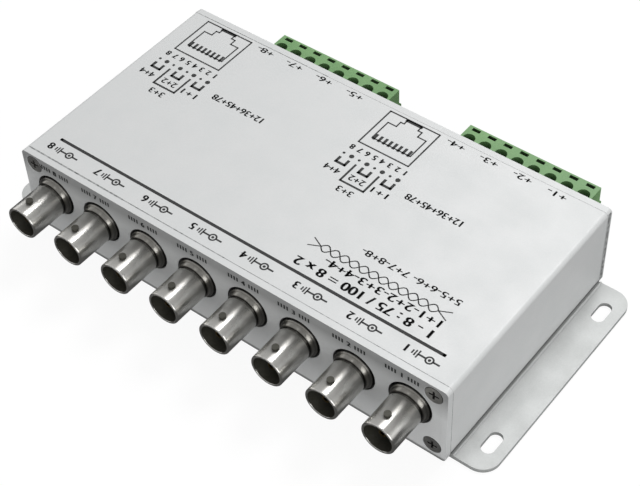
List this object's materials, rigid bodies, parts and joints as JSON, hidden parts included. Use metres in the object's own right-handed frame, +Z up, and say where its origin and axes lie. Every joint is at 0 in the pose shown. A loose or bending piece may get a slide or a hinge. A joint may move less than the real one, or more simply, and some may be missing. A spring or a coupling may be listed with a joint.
{
  "type": "video balun",
  "caption": "Passive multi-channel video balun in a flat aluminium case with slotted ears: bayonet coaxial sockets in front, network jacks and green screw terminals behind.",
  "frame": {"origin": "centre of the case on its underside", "axes": "+X along the row of BNC sockets towards channel 1, +Y towards the terminal side, +Z up through the lid"},
  "size_m": [0.1582, 0.0964, 0.0266],
  "materials": {
    "anodised_aluminium": "fine matt blasted and clear anodised",
    "zinc_steel": "zinc plated",
    "circuit_laminate": "solder mask, satin",
    "nickel_plate": "bright nickel plate",
    "black_insulator": "moulded, matt",
    "gold_plate": "thin gold plate",
    "black_plastic": "moulded, satin",
    "green_plastic": "moulded, satin",
    "tinned_brass": "bright tin plate",
    "ferrite": "fired ceramic, matt",
    "enamelled_copper": "clear enamel"
  },
  "bodies": {
    "root": {"cover": "anodised_aluminium", "base": "anodised_aluminium", "front_panel": "anodised_aluminium", "rear_panel": "anodised_aluminium", "front_screws": "zinc_steel", "rear_screws": "zinc_steel", "board_screws": "zinc_steel", "standoffs": "zinc_steel", "clamp_screws_a": "zinc_steel", "clamp_screws_b": "zinc_steel", "wire_clamps_a": "zinc_steel", "wire_clamps_b": "zinc_steel", "circuit_board": "circuit_laminate", "bnc_shell_1": "nickel_plate", "bnc_shell_2": "nickel_plate", "bnc_shell_3": "nickel_plate", "bnc_shell_4": "nickel_plate", "bnc_shell_5": "nickel_plate", "bnc_shell_6": "nickel_plate", "bnc_shell_7": "nickel_plate", "bnc_shell_8": "nickel_plate", "bnc_insulator_1": "black_insulator", "bnc_insulator_2": "black_insulator", "bnc_insulator_3": "black_insulator", "bnc_insulator_4": "black_insulator", "bnc_insulator_5": "black_insulator", "bnc_insulator_6": "black_insulator", "bnc_insulator_7": "black_insulator", "bnc_insulator_8": "black_insulator", "bnc_contact_1": "gold_plate", "bnc_contact_2": "gold_plate", "bnc_contact_3": "gold_plate", "bnc_contact_4": "gold_plate", "bnc_contact_5": "gold_plate", "bnc_contact_6": "gold_plate", "bnc_contact_7": "gold_plate", "bnc_contact_8": "gold_plate", "rj45_contacts_a": "gold_plate", "rj45_contacts_b": "gold_plate", "rj45_housing_a": "black_plastic", "rj45_housing_b": "black_plastic", "terminal_header_a": "green_plastic", "terminal_header_b": "green_plastic", "terminal_plug_a": "green_plastic", "terminal_plug_b": "green_plastic", "header_pins_a": "tinned_brass", "header_pins_b": "tinned_brass", "plug_contacts_a": "tinned_brass", "plug_contacts_b": "tinned_brass", "balun_core_1": "ferrite", "balun_core_2": "ferrite", "balun_core_3": "ferrite", "balun_core_4": "ferrite", "balun_core_5": "ferrite", "balun_core_6": "ferrite", "balun_core_7": "ferrite", "balun_core_8": "ferrite", "balun_windings": "enamelled_copper"}
  },
  "joints": []
}
